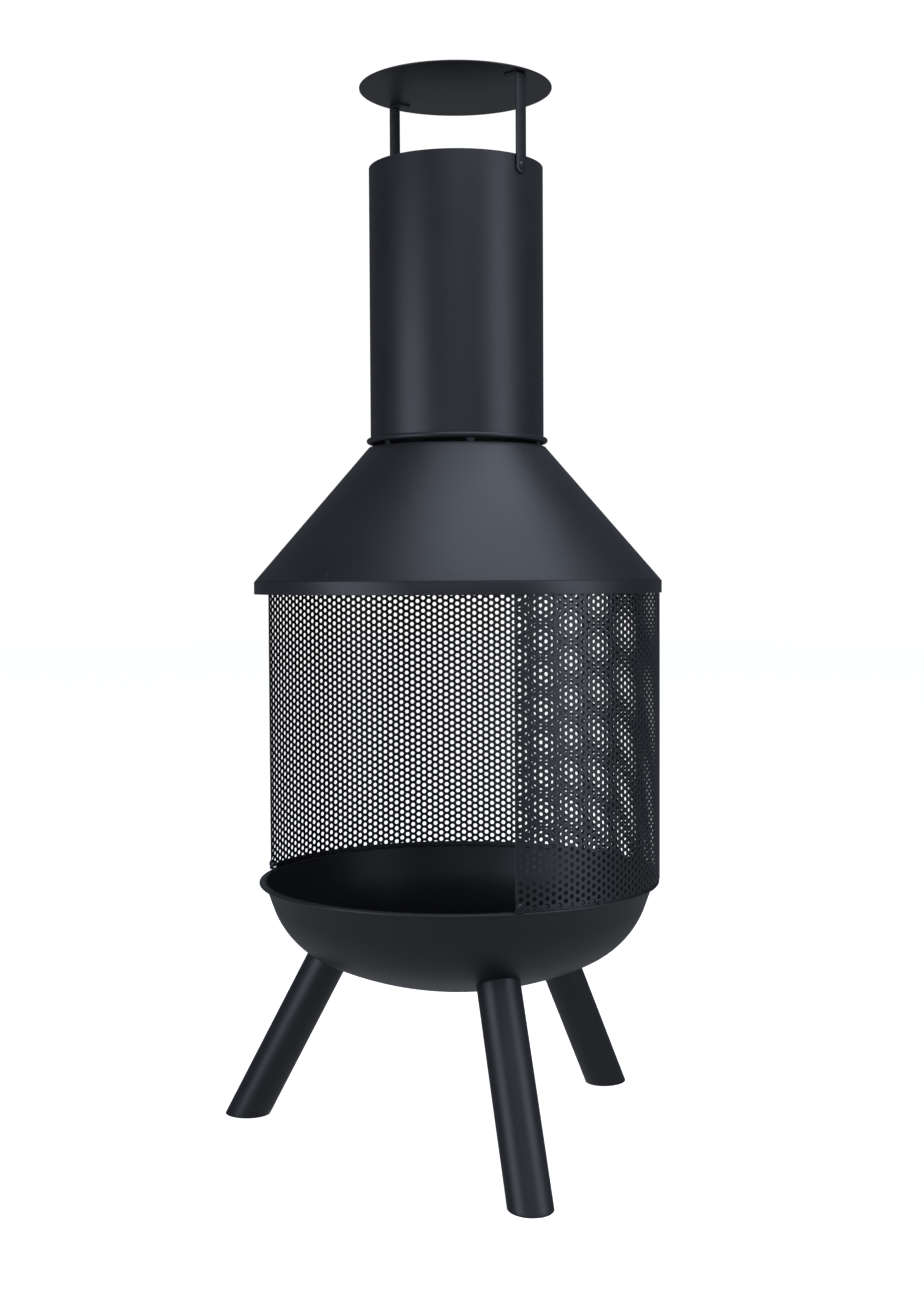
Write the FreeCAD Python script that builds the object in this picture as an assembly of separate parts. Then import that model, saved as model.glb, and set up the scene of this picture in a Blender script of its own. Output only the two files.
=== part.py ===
"""Free-standing steel chiminea: fire bowl on splayed legs, spark screen, cone hood, flue and rain cap.

Millimetres, +Z up. The origin is on the floor, on the axis of the bowl and flue.
The open side of the fire chamber faces -Y. Angles are measured about the axis from -Y towards +X.
"""

import FreeCAD, Part
import math
import os

from FreeCAD import Base

# ---- Driving dimensions -------------------------------------------------------------------------

# Hood
HOOD_R = 250.0
FOLD_Z = 685.0
SKIRT_DROP = 15.5
SKIRT_SHEET = 1.2
SKIRT_FLANGE = 12.0
FOLD_STEP = 0.6
NECK_R = 108.5
NECK_Z = 848.0
SHEET = 1.5

# Flue
FLUE_R = 106.3
FLUE_TOP_Z = 1187.0
FLUE_GAP = 4.7
BEAD_R = 3.3
BEAD_PROUD = 5.0
FLUE_TAB_COUNT = 6
FLUE_TAB_WIDTH = 8.5
FLUE_TAB_FIRST_ANGLE = 53.0
FLUE_TAB_TAIL = 12.0

# Rain cap and its two straps
CAP_R = 117.5
CAP_TOP_Z = 1285.0
CAP_SHEET = 2.0
STRAP_WIDTH = 16.0
STRAP_SHEET = 2.5
STRAP_OVERLAP = 22.0
STRAP_FOOT = 21.0
STRAP_BEND_R = 3.0
STRAP_SCREW_UP = 8.5
STRAP_SCREW_LENGTH = 12.0

# Fire bowl
RIM_R = 247.0
RIM_Z = 318.0
RIM_BEAD_R = 1.8
RIM_BEAD_NECK = 0.6
BOWL_SHEET = 2.0
BOWL_MOUTH_R = 240.5
BOWL_BOTTOM_Z = 184.0
BOWL_WALL_LEAN = 18.8
BOWL_KNUCKLE_R = 112.0
BOWL_CROWN_R = 400.0

# Spark screen
SCREEN_R = 247.5
SCREEN_SHEET = 1.0
SCREEN_OPENING = 117.8
SCREEN_FOOT_GAP = 2.6
SCREEN_TOP_Z = 679.0
SCREEN_HEM = 3.4
SCREEN_HEM_UP = 14.0
SCREEN_TAB_WIDTH = 3.0
SCREEN_TAB_COUNT = 9
SCREEN_TAB_FIRST_ANGLE = 84.5
FOOT_RING_SHEET = 2.0
FOOT_RING_HEIGHT = 5.9
FOOT_RING_SETBACK = 12.0
TOP_CLIP_WIDTH = 12.0
TOP_CLIP_COUNT = 4
TOP_CLIP_FIRST_ANGLE = 107.0
TOP_CLIP_DEPTH = 7.0
CORNER_CLIP_WIDTH = 10.0
CORNER_CLIP_HEIGHT = 11.0
CORNER_CLIP_SHEET = 1.2
CORNER_CLIP_REACH = 8.0
CORNER_SCREW_UP = 6.6
CORNER_SCREW_LENGTH = 8.0

# Legs
LEG_R = 25.75
LEG_WALL = 1.5
LEG_FOOT_RADIUS = 283.5
LEG_LEAN = 28.1
LEG_ANGLES = {"front_right": 60.0, "front_left": -60.0, "rear": 180.0}
LEG_LENGTH_MAX = 370.0
PLUG_FLANGE = 1.6
PLUG_DEPTH = 15.0
END_PLATE = 4.0
END_PLATE_SETBACK = 2.0

# Fits
GAP = 0.1
LEG_GAP = 0.2
PLUG_GAP = 0.15

# Fasteners: shank diameter, head diameter, head height, socket or nut width across flats, nut height
M4 = {"shank": 4.0, "head": 7.6, "height": 2.2, "key": 2.5, "nut": 7.0, "nut_height": 3.2}
M5 = {"shank": 5.0, "head": 9.5, "height": 2.75, "key": 3.0, "nut": 8.0, "nut_height": 4.0}
M8 = {"shank": 8.0, "head": 13.0, "height": 5.3, "washer": 16.0, "washer_height": 1.6, "length": 22.0}
HOLE_CLEARANCE = 0.5
SOCKET_DEPTH = 0.6

# How far a drill starts before, or runs past, the wall it cuts
DRILL_START = 20.0
DRILL_LENGTH = 80.0

UP = Base.Vector(0, 0, 1)
AXIS = Base.Vector(0, 0, 0)


# ---- Small helpers ------------------------------------------------------------------------------


def point(radius, height, angle=0.0):
    """A point at an angle about the axis, measured from -Y towards +X."""
    turn = math.radians(angle)
    return Base.Vector(radius * math.sin(turn), -radius * math.cos(turn), height)


def outward(angle):
    """Unit vector that points away from the axis at an angle."""
    return point(1.0, 0.0, angle)


def wire(steps):
    """Closed wire in the plane of angle 0. A step is (r, z), or two of them for an arc's mid and end."""
    edges = []
    start = point(*steps[0])
    here = start
    for step in steps[1:]:
        if isinstance(step[0], tuple):
            there = point(*step[1])
            edges.append(Part.Arc(here, point(*step[0]), there).toShape())
        else:
            there = point(*step)
            edges.append(Part.LineSegment(here, there).toShape())
        here = there
    edges.append(Part.LineSegment(here, start).toShape())
    return Part.Wire(edges)


def revolve(steps, first=0.0, sweep=360.0):
    """Solid swept by a profile from one angle, through a sweep, about the axis."""
    face = Part.Face(wire(steps))
    solid = face.revolve(AXIS, UP, sweep)
    return solid.rotate(AXIS, UP, first)


def turned(shape, angle):
    """Copy of a shape made at angle 0, turned to another angle."""
    return shape.copy().rotate(AXIS, UP, angle)


def block(radius_from, radius_to, width, low, high):
    """Box at angle 0 between two radii, centred on the plane of angle 0."""
    corner = Base.Vector(-width / 2, -radius_to, low)
    return Part.makeBox(width, radius_to - radius_from, high - low, corner)


def rod(diameter, length, start, along):
    return Part.makeCylinder(diameter / 2, length, start, along)


def hexagon(across_flats, height, start, along):
    """Hexagonal prism whose first face is centred on start."""
    radius = across_flats / math.sqrt(3.0)
    corners = [
        Base.Vector(radius * math.cos(math.radians(60 * k)), radius * math.sin(math.radians(60 * k)), 0)
        for k in range(7)
    ]
    prism = Part.Face(Part.makePolygon(corners)).extrude(Base.Vector(0, 0, height))
    prism.Placement = Base.Placement(start, Base.Rotation(UP, along))
    return prism


def button_screw(size, length, seat, outwards):
    """Button-head screw with a hex socket. The head sits on seat and faces outwards."""
    dome_radius = (size["head"] ** 2 / 4 + size["height"] ** 2) / (2 * size["height"])
    centre = seat + outwards * (size["height"] - dome_radius)
    dome = Part.makeSphere(dome_radius, centre)
    head = dome.common(rod(size["head"] + 1, size["height"] + 1, seat, outwards))
    shank = rod(size["shank"], length, seat, outwards * -1)
    depth = SOCKET_DEPTH * size["height"]
    socket = hexagon(size["key"], depth + 1, seat + outwards * (size["height"] - depth), outwards)
    return head.fuse(shank).removeSplitter().cut(socket)


def nut(size, seat, inwards):
    """Hexagon nut whose face lies on seat and whose body runs inwards."""
    body = hexagon(size["nut"], size["nut_height"], seat, inwards)
    bore = rod(size["shank"] + GAP, size["nut_height"] + 2, seat - inwards, inwards)
    return body.cut(bore)


def group(shapes):
    return Part.makeCompound(shapes)


# ---- Hood ---------------------------------------------------------------------------------------

CONE_BASE_R = HOOD_R - FOLD_STEP
CONE_SLOPE = math.atan2(CONE_BASE_R - NECK_R, NECK_Z - FOLD_Z)


def cone_inside(height, offset=0.0):
    """Radius of the cone's inner face at a height, less an offset square to that face."""
    outer = NECK_R + (NECK_Z - height) * math.tan(CONE_SLOPE)
    return outer - (SHEET + offset) / math.cos(CONE_SLOPE)


def hood_cone():
    return revolve([
        (CONE_BASE_R, FOLD_Z),
        (NECK_R, NECK_Z),
        (cone_inside(NECK_Z), NECK_Z),
        (cone_inside(FOLD_Z), FOLD_Z),
    ])


def hood_skirt():
    """Upright band with a flange that follows the inside of the cone."""
    ledge = FOLD_Z - GAP
    flange_top = FOLD_Z + SKIRT_FLANGE * math.cos(CONE_SLOPE)
    inside = GAP + SKIRT_SHEET
    inner_r = HOOD_R - SKIRT_SHEET
    corner_z = NECK_Z - (inner_r + (SHEET + inside) / math.cos(CONE_SLOPE) - NECK_R) / math.tan(CONE_SLOPE)
    return revolve([
        (HOOD_R, FOLD_Z - SKIRT_DROP),
        (HOOD_R, ledge),
        (cone_inside(ledge, GAP), ledge),
        (cone_inside(flange_top, GAP), flange_top),
        (cone_inside(flange_top, inside), flange_top),
        (inner_r, corner_z),
        (inner_r, FOLD_Z - SKIRT_DROP),
    ])


# ---- Flue and rain cap --------------------------------------------------------------------------

FLUE_BOTTOM_Z = NECK_Z + FLUE_GAP
FLUE_BORE_R = FLUE_R - SHEET
STRAP_BOTTOM_Z = FLUE_TOP_Z - STRAP_OVERLAP
STRAP_SCREW_Z = STRAP_BOTTOM_Z + STRAP_SCREW_UP
STRAP_IN_R = FLUE_R + GAP
STRAP_OUT_R = STRAP_IN_R + STRAP_SHEET
STRAP_ANGLES = {"right": 90.0, "left": -90.0}


def screw_hole(size, height, angle):
    """Drill that passes outwards through a wall at an angle."""
    start = point(FLUE_BORE_R - DRILL_START, height, angle)
    return rod(size["shank"] + HOLE_CLEARANCE, DRILL_LENGTH, start, outward(angle))


def flue_tab():
    """Narrow tab that leaves the flue's lower end and bends outwards under the neck of the cone."""
    bend_z = NECK_Z - SHEET
    tail_z = bend_z - FLUE_TAB_TAIL * math.cos(CONE_SLOPE)
    sweep = math.degrees(FLUE_TAB_WIDTH / FLUE_R)
    outer_r = cone_inside(NECK_Z, GAP)
    return revolve([
        (outer_r, FLUE_BOTTOM_Z + SHEET),
        (outer_r, NECK_Z),
        (cone_inside(tail_z, GAP), tail_z),
        (cone_inside(tail_z, GAP + SHEET), tail_z),
        (FLUE_BORE_R, bend_z),
        (FLUE_BORE_R, FLUE_BOTTOM_Z + SHEET),
    ], -sweep / 2, sweep)


def chimney_tube():
    """Straight flue with a rolled bead round its lower end, and the tabs that hold it to the cone."""
    centre_r = FLUE_R + BEAD_PROUD - BEAD_R
    centre_z = FLUE_BOTTOM_Z + BEAD_R
    tube = revolve([
        (FLUE_BORE_R, FLUE_BOTTOM_Z),
        (centre_r, FLUE_BOTTOM_Z),
        ((centre_r + BEAD_R, centre_z), (centre_r, centre_z + BEAD_R)),
        (FLUE_R, centre_z + BEAD_R),
        (FLUE_R, FLUE_TOP_Z),
        (FLUE_BORE_R, FLUE_TOP_Z),
    ])
    step = 360.0 / FLUE_TAB_COUNT
    tabs = [turned(flue_tab(), FLUE_TAB_FIRST_ANGLE + step * k) for k in range(FLUE_TAB_COUNT)]
    tube = tube.fuse(tabs)
    for angle in STRAP_ANGLES.values():
        tube = tube.cut(screw_hole(M5, STRAP_SCREW_Z, angle))
    return tube


def rain_cap():
    return rod(2 * CAP_R, CAP_SHEET, Base.Vector(0, 0, CAP_TOP_Z - CAP_SHEET), UP)


def cap_bracket(angle):
    """Flat strap screwed to the flue, rounded below and bent inwards above to a foot under the cap."""
    top = CAP_TOP_Z - CAP_SHEET
    bend_in = STRAP_BEND_R - STRAP_SHEET
    shoulder = STRAP_BEND_R * (1 - math.sqrt(0.5))
    crook = bend_in * (1 - math.sqrt(0.5))
    end_r = STRAP_OUT_R - STRAP_FOOT
    side = wire([
        (STRAP_OUT_R, STRAP_BOTTOM_Z),
        (STRAP_OUT_R, top - STRAP_BEND_R),
        ((STRAP_OUT_R - shoulder, top - shoulder), (STRAP_OUT_R - STRAP_BEND_R, top)),
        (end_r, top),
        (end_r, top - STRAP_SHEET),
        (STRAP_IN_R - bend_in, top - STRAP_SHEET),
        ((STRAP_IN_R - crook, top - STRAP_SHEET - crook), (STRAP_IN_R, top - STRAP_SHEET - bend_in)),
        (STRAP_IN_R, STRAP_BOTTOM_Z),
    ])
    strap = Part.Face(side).extrude(Base.Vector(STRAP_WIDTH, 0, 0))
    strap.translate(Base.Vector(-STRAP_WIDTH / 2, 0, 0))
    round_z = STRAP_BOTTOM_Z + STRAP_WIDTH / 2
    trim = block(STRAP_IN_R - 1, STRAP_OUT_R + 1, STRAP_WIDTH + 2, STRAP_BOTTOM_Z - 1, round_z)
    tip = rod(STRAP_WIDTH, STRAP_SHEET + 2, point(STRAP_IN_R - 1, round_z), outward(0))
    strap = strap.cut(trim.cut(tip))
    return turned(strap, angle).cut(screw_hole(M5, STRAP_SCREW_Z, angle))


def bracket_screws():
    return group([
        button_screw(M5, STRAP_SCREW_LENGTH, point(STRAP_OUT_R, STRAP_SCREW_Z, angle), outward(angle))
        for angle in STRAP_ANGLES.values()
    ])


def bracket_nuts():
    """Nuts inside the flue. Their flat faces stop short of the curved wall."""
    half = M5["nut"] / math.sqrt(3.0)
    seat_r = math.sqrt(FLUE_BORE_R ** 2 - half ** 2) - GAP
    return group([
        nut(M5, point(seat_r, STRAP_SCREW_Z, angle), outward(angle) * -1)
        for angle in STRAP_ANGLES.values()
    ])


# ---- Fire bowl ----------------------------------------------------------------------------------


def bowl_curve(offset):
    """Outside of the bowl, moved inwards by an offset: its mouth, knuckle, crown and bottom points."""
    lean = math.radians(BOWL_WALL_LEAN)
    crown_z = BOWL_BOTTOM_Z + BOWL_CROWN_R
    down = (-math.sin(lean), -math.cos(lean))
    inwards = (-math.cos(lean), math.sin(lean))
    from_r = BOWL_MOUTH_R + inwards[0] * BOWL_KNUCKLE_R
    from_z = RIM_Z + inwards[1] * BOWL_KNUCKLE_R - crown_z
    along = from_r * down[0] + from_z * down[1]
    apart = from_r ** 2 + from_z ** 2 - (BOWL_CROWN_R - BOWL_KNUCKLE_R) ** 2
    run = -along + math.sqrt(along ** 2 - apart)
    knuckle_r = from_r + down[0] * run
    knuckle_z = from_z + down[1] * run + crown_z
    small = BOWL_KNUCKLE_R - offset
    large = BOWL_CROWN_R - offset
    first = math.atan2(-inwards[1], -inwards[0])
    last = math.atan2(knuckle_z - crown_z, knuckle_r)
    crown_mid = (last - math.pi / 2) / 2

    def on_knuckle(angle):
        return (knuckle_r + small * math.cos(angle), knuckle_z + small * math.sin(angle))

    def on_crown(angle):
        return (large * math.cos(angle), crown_z + large * math.sin(angle))

    mouth = (BOWL_MOUTH_R - offset / math.cos(lean), RIM_Z)
    return {
        "mouth": mouth,
        "knuckle": on_knuckle(first),
        "knuckle_mid": on_knuckle((first + last) / 2),
        "crown": on_crown(last),
        "crown_mid": on_crown(crown_mid),
        "bottom": (0.0, crown_z - large),
    }


def wall_radius(height, offset=0.0):
    """Radius of the straight upper wall's outside at a height, moved inwards by an offset."""
    lean = math.radians(BOWL_WALL_LEAN)
    return BOWL_MOUTH_R - (RIM_Z - height) * math.tan(lean) - offset / math.cos(lean)


def fire_bowl():
    """Dished bowl whose mouth turns out to a flat lip with a rolled edge."""
    outside = bowl_curve(0.0)
    inside = bowl_curve(BOWL_SHEET)
    lip_low = RIM_Z - BOWL_SHEET
    bead_r = RIM_R - RIM_BEAD_R
    bead_z = RIM_Z - RIM_BEAD_R
    inset = RIM_BEAD_R * RIM_BEAD_NECK
    under = bead_z - math.sqrt(RIM_BEAD_R ** 2 - inset ** 2)
    neck = bead_r - inset
    bowl = revolve([
        inside["bottom"],
        (inside["crown_mid"], inside["crown"]),
        (inside["knuckle_mid"], inside["knuckle"]),
        inside["mouth"],
        (bead_r, RIM_Z),
        ((RIM_R, bead_z), (bead_r, bead_z - RIM_BEAD_R)),
        (neck, under),
        (neck, lip_low),
        (wall_radius(lip_low), lip_low),
        outside["knuckle"],
        (outside["knuckle_mid"], outside["crown"]),
        (outside["crown_mid"], outside["bottom"]),
    ])
    for angle in LEG_ANGLES.values():
        bowl = bowl.cut(turned(leg_rod(M8["shank"] + HOLE_CLEARANCE, -DRILL_START, DRILL_LENGTH), angle))
    return bowl


def bowl_filled(offset):
    """The bowl's outside with its hollow filled, moved inwards by an offset, up to the lip."""
    outside = bowl_curve(offset)
    return revolve([
        outside["bottom"],
        (outside["crown_mid"], outside["crown"]),
        (outside["knuckle_mid"], outside["knuckle"]),
        outside["mouth"],
        (0.0, RIM_Z),
    ])


# ---- Spark screen -------------------------------------------------------------------------------

SCREEN_IN_R = SCREEN_R - SCREEN_SHEET
SCREEN_BOTTOM_Z = RIM_Z + SCREEN_FOOT_GAP
SCREEN_FIRST = SCREEN_OPENING / 2
SCREEN_SWEEP = 360.0 - SCREEN_OPENING


def around_back(first_angle, count):
    """Evenly spaced angles round the back, from one angle to its mirror image."""
    step = (360.0 - 2 * first_angle) / (count - 1)
    return [first_angle + step * k for k in range(count)]


def sector(steps, angle, width):
    """Piece of a revolved profile that is a given width wide along the rim, centred on an angle."""
    sweep = math.degrees(width / SCREEN_R)
    return revolve(steps, angle - sweep / 2, sweep)


def spark_screen():
    """Rolled sheet with hemmed upright edges and narrow tabs that stand on the bowl's lip."""
    sheet = revolve([
        (SCREEN_IN_R, SCREEN_BOTTOM_Z),
        (SCREEN_R, SCREEN_BOTTOM_Z),
        (SCREEN_R, SCREEN_TOP_Z),
        (SCREEN_IN_R, SCREEN_TOP_Z),
    ], SCREEN_FIRST, SCREEN_SWEEP)
    tab = [
        (SCREEN_IN_R, RIM_Z),
        (SCREEN_R, RIM_Z),
        (SCREEN_R, SCREEN_BOTTOM_Z + SCREEN_SHEET),
        (SCREEN_IN_R, SCREEN_BOTTOM_Z + SCREEN_SHEET),
    ]
    hem = [
        (SCREEN_IN_R - SCREEN_SHEET, RIM_Z + SCREEN_HEM_UP),
        (SCREEN_R, RIM_Z + SCREEN_HEM_UP),
        (SCREEN_R, SCREEN_TOP_Z),
        (SCREEN_IN_R - SCREEN_SHEET, SCREEN_TOP_Z),
    ]
    hem_sweep = math.degrees(SCREEN_HEM / SCREEN_R)
    tab_angles = around_back(SCREEN_TAB_FIRST_ANGLE, SCREEN_TAB_COUNT)
    added = [sector(tab, angle, SCREEN_TAB_WIDTH) for angle in tab_angles]
    added.append(revolve(hem, SCREEN_FIRST, hem_sweep))
    added.append(revolve(hem, -SCREEN_FIRST - hem_sweep, hem_sweep))
    screen = sheet.fuse(added).removeSplitter()
    for angle in CORNER_ANGLES.values():
        screen = screen.cut(corner_hole(angle))
    return screen


def screen_foot_ring():
    """Flat hoop inside the foot of the screen. It stands on the bowl's lip between the corner clips."""
    outer = SCREEN_IN_R - GAP
    setback = math.degrees(FOOT_RING_SETBACK / SCREEN_R)
    return revolve([
        (outer - FOOT_RING_SHEET, RIM_Z),
        (outer, RIM_Z),
        (outer, RIM_Z + FOOT_RING_HEIGHT),
        (outer - FOOT_RING_SHEET, RIM_Z + FOOT_RING_HEIGHT),
    ], SCREEN_FIRST + setback, SCREEN_SWEEP - 2 * setback)


def screen_top_clips():
    """U-clips over the screen's top edge. Their outer legs fill the space to the skirt."""
    inner_in = SCREEN_IN_R - GAP - SCREEN_SHEET
    outer_out = HOOD_R - SKIRT_SHEET - GAP
    low = SCREEN_TOP_Z - TOP_CLIP_DEPTH
    web = SCREEN_TOP_Z + GAP
    clip = [
        (inner_in, low),
        (SCREEN_IN_R - GAP, low),
        (SCREEN_IN_R - GAP, web),
        (SCREEN_R + GAP, web),
        (SCREEN_R + GAP, low),
        (outer_out, low),
        (outer_out, web + SCREEN_SHEET),
        (inner_in, web + SCREEN_SHEET),
    ]
    angles = around_back(TOP_CLIP_FIRST_ANGLE, TOP_CLIP_COUNT)
    return group([sector(clip, angle, TOP_CLIP_WIDTH) for angle in angles])


CORNER_OFFSET = math.degrees((CORNER_CLIP_WIDTH / 2) / SCREEN_R)
CORNER_ANGLES = {"right": SCREEN_FIRST + CORNER_OFFSET, "left": -SCREEN_FIRST - CORNER_OFFSET}
CORNER_OUT_R = SCREEN_R + GAP + CORNER_CLIP_SHEET
CORNER_SCREW_Z = RIM_Z + CORNER_SCREW_UP


def corner_hole(angle):
    start = point(SCREEN_IN_R - DRILL_START, CORNER_SCREW_Z, angle)
    return rod(M4["shank"] + HOLE_CLEARANCE, DRILL_LENGTH, start, outward(angle))


def screen_corner_clip(angle):
    """Angle clip: one leg outside the screen's front corner, the other inwards on the bowl's lip."""
    clip = sector([
        (SCREEN_R + GAP, RIM_Z + CORNER_CLIP_SHEET),
        (SCREEN_R - CORNER_CLIP_REACH, RIM_Z + CORNER_CLIP_SHEET),
        (SCREEN_R - CORNER_CLIP_REACH, RIM_Z),
        (CORNER_OUT_R, RIM_Z),
        (CORNER_OUT_R, RIM_Z + CORNER_CLIP_HEIGHT),
        (SCREEN_R + GAP, RIM_Z + CORNER_CLIP_HEIGHT),
    ], angle, CORNER_CLIP_WIDTH)
    return clip.cut(corner_hole(angle))


def corner_clip_screws():
    """Screws through the upright legs of the corner clips, heads outside."""
    return group([
        button_screw(M4, CORNER_SCREW_LENGTH, point(CORNER_OUT_R, CORNER_SCREW_Z, angle), outward(angle))
        for angle in CORNER_ANGLES.values()
    ])


def corner_clip_nuts():
    """Nuts inside the chamber. Their flat faces stop short of the curved sheet."""
    half = M4["nut"] / math.sqrt(3.0)
    seat_r = math.sqrt(SCREEN_IN_R ** 2 - half ** 2) - GAP
    return group([
        nut(M4, point(seat_r, CORNER_SCREW_Z, angle), outward(angle) * -1)
        for angle in CORNER_ANGLES.values()
    ])


# ---- Legs ---------------------------------------------------------------------------------------

LEG_UP = Base.Vector(0, math.sin(math.radians(LEG_LEAN)), math.cos(math.radians(LEG_LEAN)))


def leg_top():
    """Where the leg's axis meets the outside of the bowl's crown, for the leg at angle 0."""
    foot = point(LEG_FOOT_RADIUS, 0.0)
    centre = Base.Vector(0, 0, BOWL_BOTTOM_Z + BOWL_CROWN_R)
    to_foot = foot - centre
    along = to_foot.dot(LEG_UP)
    run = -along - math.sqrt(along ** 2 - to_foot.dot(to_foot) + BOWL_CROWN_R ** 2)
    return foot + LEG_UP * run


LEG_TOP = leg_top()


def leg_rod(diameter, start, length):
    """Rod on the axis of the leg at angle 0, starting a distance above the bowl's outside."""
    return rod(diameter, length, LEG_TOP + LEG_UP * start, LEG_UP)


def leg_blank(diameter, low, high):
    """Round bar on the leg's axis between two heights above the floor, for the leg at angle 0."""
    bar = leg_rod(diameter, -LEG_LENGTH_MAX, LEG_LENGTH_MAX + LEG_R)
    size = 2 * LEG_LENGTH_MAX
    room = Part.makeBox(size, size, high - low, Base.Vector(-size / 2, -size, low))
    return bar.common(room)


def leg(angle):
    """Tube cut flat above its glide and mitred to the outside of the bowl."""
    tube = leg_blank(2 * LEG_R, PLUG_FLANGE, RIM_Z)
    tube = tube.cut(leg_blank(2 * (LEG_R - LEG_WALL), 0.0, RIM_Z))
    tube = tube.cut(bowl_filled(-LEG_GAP))
    return turned(tube, angle)


def leg_end_plate(angle):
    """Threaded disc welded inside the top of the leg."""
    low = -END_PLATE - END_PLATE_SETBACK
    plate = leg_rod(2 * (LEG_R - LEG_WALL) - 2 * GAP, low, END_PLATE)
    plate = plate.cut(leg_rod(M8["shank"] + GAP, low - 1, END_PLATE + 2))
    return turned(plate, angle)


def foot_plug(angle):
    """Glide: a flange as wide as the cut end of the tube, and a plug inside it."""
    flange = leg_blank(2 * LEG_R, 0.0, PLUG_FLANGE)
    body = leg_blank(2 * (LEG_R - LEG_WALL - PLUG_GAP), 0.0, PLUG_FLANGE + PLUG_DEPTH)
    return turned(flange.fuse(body).removeSplitter(), angle)


def leg_seat():
    """Distance above LEG_TOP where a washer lies flat inside the bowl, clear of its curve."""
    half = M8["washer"] / 2
    sag = BOWL_CROWN_R - math.sqrt(BOWL_CROWN_R ** 2 - half ** 2)
    tilt = math.radians(LEG_LEAN) - math.asin(-LEG_TOP.y / BOWL_CROWN_R)
    return BOWL_SHEET + sag + half * math.sin(abs(tilt)) + GAP


def leg_washers():
    washer = leg_rod(M8["washer"], leg_seat(), M8["washer_height"])
    washer = washer.cut(leg_rod(M8["shank"] + HOLE_CLEARANCE, 0.0, DRILL_LENGTH))
    return group([turned(washer, angle) for angle in LEG_ANGLES.values()])


def leg_bolts():
    """Hexagon bolts from inside the bowl, down each leg's axis into its end plate."""
    seat = leg_seat() + M8["washer_height"]
    head = hexagon(M8["head"], M8["height"], LEG_TOP + LEG_UP * seat, LEG_UP)
    bolt = head.fuse(leg_rod(M8["shank"], seat - M8["length"], M8["length"]))
    return group([turned(bolt, angle) for angle in LEG_ANGLES.values()])


# ---- Build --------------------------------------------------------------------------------------


def nodes():
    """Every sub-part by name."""
    made = {
        "rain_cap": rain_cap(),
        "bracket_screws": bracket_screws(),
        "bracket_nuts": bracket_nuts(),
        "chimney_tube": chimney_tube(),
        "hood_cone": hood_cone(),
        "hood_skirt": hood_skirt(),
        "spark_screen": spark_screen(),
        "screen_foot_ring": screen_foot_ring(),
        "screen_top_clips": screen_top_clips(),
        "corner_clip_screws": corner_clip_screws(),
        "corner_clip_nuts": corner_clip_nuts(),
        "fire_bowl": fire_bowl(),
        "leg_washers": leg_washers(),
        "leg_bolts": leg_bolts(),
    }
    for side, angle in STRAP_ANGLES.items():
        made["cap_bracket_" + side] = cap_bracket(angle)
    for side, angle in CORNER_ANGLES.items():
        made["screen_corner_clip_" + side] = screen_corner_clip(angle)
    for place, angle in LEG_ANGLES.items():
        made["leg_" + place] = leg(angle)
        made["leg_end_plate_" + place] = leg_end_plate(angle)
        made["foot_plug_" + place] = foot_plug(angle)
    return made


def main():
    os.makedirs("parts", exist_ok=True)
    for name, shape in nodes().items():
        if not shape.isValid():
            raise ValueError(name + " is not a valid shape")
        shape.exportStep("parts/" + name + ".step")
        print(name, len(shape.Solids), "solids", round(shape.Volume), "mm3")


main()
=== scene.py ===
"""Looks of the steel chiminea: fine sheet-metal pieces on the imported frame, a white studio and a camera.

Metres, +Z up, in the frame of the CAD. Angles are measured about the axis from -Y towards +X.
"""

import math

import bmesh
import bpy
from mathutils import Matrix, Vector


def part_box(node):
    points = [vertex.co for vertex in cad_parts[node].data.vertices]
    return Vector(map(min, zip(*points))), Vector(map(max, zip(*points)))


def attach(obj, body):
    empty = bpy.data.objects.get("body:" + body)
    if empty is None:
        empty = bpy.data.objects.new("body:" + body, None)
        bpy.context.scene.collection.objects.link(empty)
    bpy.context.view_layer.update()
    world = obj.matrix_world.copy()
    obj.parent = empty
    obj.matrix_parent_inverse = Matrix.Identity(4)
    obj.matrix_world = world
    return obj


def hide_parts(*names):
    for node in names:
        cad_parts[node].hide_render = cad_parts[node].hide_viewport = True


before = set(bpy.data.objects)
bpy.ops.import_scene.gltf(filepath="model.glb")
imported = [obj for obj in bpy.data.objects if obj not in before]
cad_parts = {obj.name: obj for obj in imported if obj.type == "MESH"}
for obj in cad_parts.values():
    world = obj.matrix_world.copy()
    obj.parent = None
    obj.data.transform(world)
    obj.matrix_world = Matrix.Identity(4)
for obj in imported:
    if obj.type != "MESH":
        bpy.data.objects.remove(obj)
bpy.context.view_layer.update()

# ---- Sizes from the frame -----------------------------------------------------------------------

cap_low, cap_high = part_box("rain_cap")
tube_low, tube_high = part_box("chimney_tube")
cone_low, cone_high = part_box("hood_cone")
skirt_low, skirt_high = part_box("hood_skirt")
screen_low, screen_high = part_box("spark_screen")
bowl_low, bowl_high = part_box("fire_bowl")
strap_low, strap_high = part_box("cap_bracket_right")
glide_low, glide_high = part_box("foot_plug_rear")

CAP_R = cap_high.x
CAP_TOP = cap_high.z
CAP_UNDER = cap_low.z
CONE_BASE_R = cone_high.x
FOLD_Z = cone_low.z
NECK_Z = cone_high.z
HOOD_R = skirt_high.x
SKIRT_LOW = skirt_low.z
FLUE_TOP = tube_high.z
SCREEN_R = screen_high.y
SCREEN_TOP = screen_high.z
RIM_R = bowl_high.x
RIM_Z = bowl_high.z
BOWL_LOW = bowl_low.z
STRAP_LOW = strap_low.z
LEG_FOOT_HIGH = glide_high.y

# ---- Sizes of the details -----------------------------------------------------------------------

SHEET = 0.0015
GAP = 0.0001
EASE = 0.0004
FINE_EASE = 0.0003
NECK_R = 0.1085
SKIRT_SHEET = 0.0012
SKIRT_FLANGE = 0.012

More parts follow.
